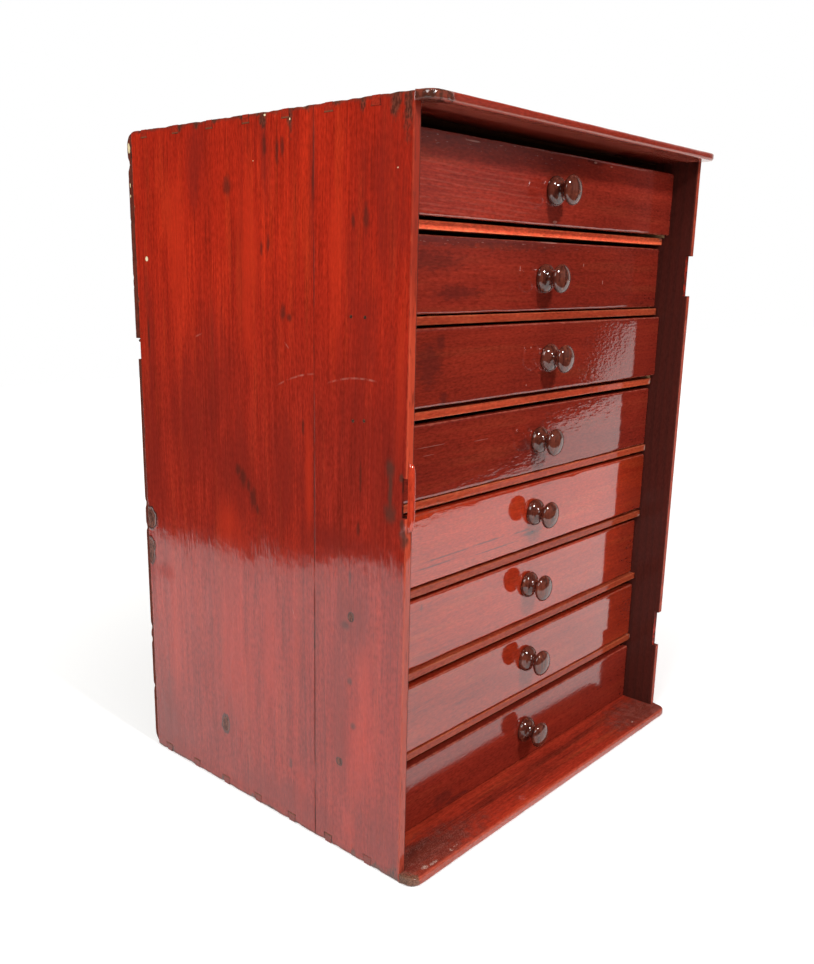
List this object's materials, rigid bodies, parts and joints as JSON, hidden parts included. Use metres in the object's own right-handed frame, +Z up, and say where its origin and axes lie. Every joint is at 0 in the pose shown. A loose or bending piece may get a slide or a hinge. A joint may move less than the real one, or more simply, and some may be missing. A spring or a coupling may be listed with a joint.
{
  "type": "collectors cabinet",
  "caption": "Small open-fronted collectors cabinet in red-stained pine, with shallow drawers stacked between dovetailed boards, each with one turned wooden knob.",
  "frame": {"origin": "on the floor, under the middle of the case with its front lips", "axes": "+Z up, +Y to the back, +X to the right as seen from the front"},
  "size_m": [0.42, 0.343, 0.5745],
  "materials": {
    "case": "red stain, gloss varnish, worn at the edges",
    "back": "dark unvarnished pine",
    "drawer_face": "red stain, gloss varnish",
    "drawer_box": "bare pine",
    "knob": "dark gloss varnish"
  },
  "bodies": {
    "case": {"left_side": "case", "right_side": "case", "top_board": "case", "bottom_board": "case", "back_panel": "back", "divider_1": "case", "divider_2": "case", "divider_3": "case", "divider_4": "case", "divider_5": "case", "divider_6": "case", "divider_7": "case"},
    "drawer_1": {"drawer_1_front": "drawer_face", "drawer_1_left_side": "drawer_box", "drawer_1_right_side": "drawer_box", "drawer_1_back": "drawer_box", "drawer_1_bottom": "drawer_box", "drawer_1_knob": "knob"},
    "drawer_2": {"drawer_2_front": "drawer_face", "drawer_2_left_side": "drawer_box", "drawer_2_right_side": "drawer_box", "drawer_2_back": "drawer_box", "drawer_2_bottom": "drawer_box", "drawer_2_knob": "knob"},
    "drawer_3": {"drawer_3_front": "drawer_face", "drawer_3_left_side": "drawer_box", "drawer_3_right_side": "drawer_box", "drawer_3_back": "drawer_box", "drawer_3_bottom": "drawer_box", "drawer_3_knob": "knob"},
    "drawer_4": {"drawer_4_front": "drawer_face", "drawer_4_left_side": "drawer_box", "drawer_4_right_side": "drawer_box", "drawer_4_back": "drawer_box", "drawer_4_bottom": "drawer_box", "drawer_4_knob": "knob"},
    "drawer_5": {"drawer_5_front": "drawer_face", "drawer_5_left_side": "drawer_box", "drawer_5_right_side": "drawer_box", "drawer_5_back": "drawer_box", "drawer_5_bottom": "drawer_box", "drawer_5_knob": "knob"},
    "drawer_6": {"drawer_6_front": "drawer_face", "drawer_6_left_side": "drawer_box", "drawer_6_right_side": "drawer_box", "drawer_6_back": "drawer_box", "drawer_6_bottom": "drawer_box", "drawer_6_knob": "knob"},
    "drawer_7": {"drawer_7_front": "drawer_face", "drawer_7_left_side": "drawer_box", "drawer_7_right_side": "drawer_box", "drawer_7_back": "drawer_box", "drawer_7_bottom": "drawer_box", "drawer_7_knob": "knob"},
    "drawer_8": {"drawer_8_front": "drawer_face", "drawer_8_left_side": "drawer_box", "drawer_8_right_side": "drawer_box", "drawer_8_back": "drawer_box", "drawer_8_bottom": "drawer_box", "drawer_8_knob": "knob"}
  },
  "joints": [
    {"name": "drawer_1_slide", "type": "slide", "parent": "case", "child": "drawer_1", "axis": [0, -1, 0], "range_m": [-0.0128, 0.2222]},
    {"name": "drawer_2_slide", "type": "slide", "parent": "case", "child": "drawer_2", "axis": [0, -1, 0], "range_m": [-0.0034, 0.2316]},
    {"name": "drawer_3_slide", "type": "slide", "parent": "case", "child": "drawer_3", "axis": [0, -1, 0], "range_m": [-0.0096, 0.2254]},
    {"name": "drawer_4_slide", "type": "slide", "parent": "case", "child": "drawer_4", "axis": [0, -1, 0], "range_m": [-0.0045, 0.2305]},
    {"name": "drawer_5_slide", "type": "slide", "parent": "case", "child": "drawer_5", "axis": [0, -1, 0], "range_m": [-0.0052, 0.2298]},
    {"name": "drawer_6_slide", "type": "slide", "parent": "case", "child": "drawer_6", "axis": [0, -1, 0], "range_m": [-0.0007, 0.2343]},
    {"name": "drawer_7_slide", "type": "slide", "parent": "case", "child": "drawer_7", "axis": [0, -1, 0], "range_m": [-0.0037, 0.2313]},
    {"name": "drawer_8_slide", "type": "slide", "parent": "case", "child": "drawer_8", "axis": [0, -1, 0], "range_m": [-0.0036, 0.2314]}
  ]
}
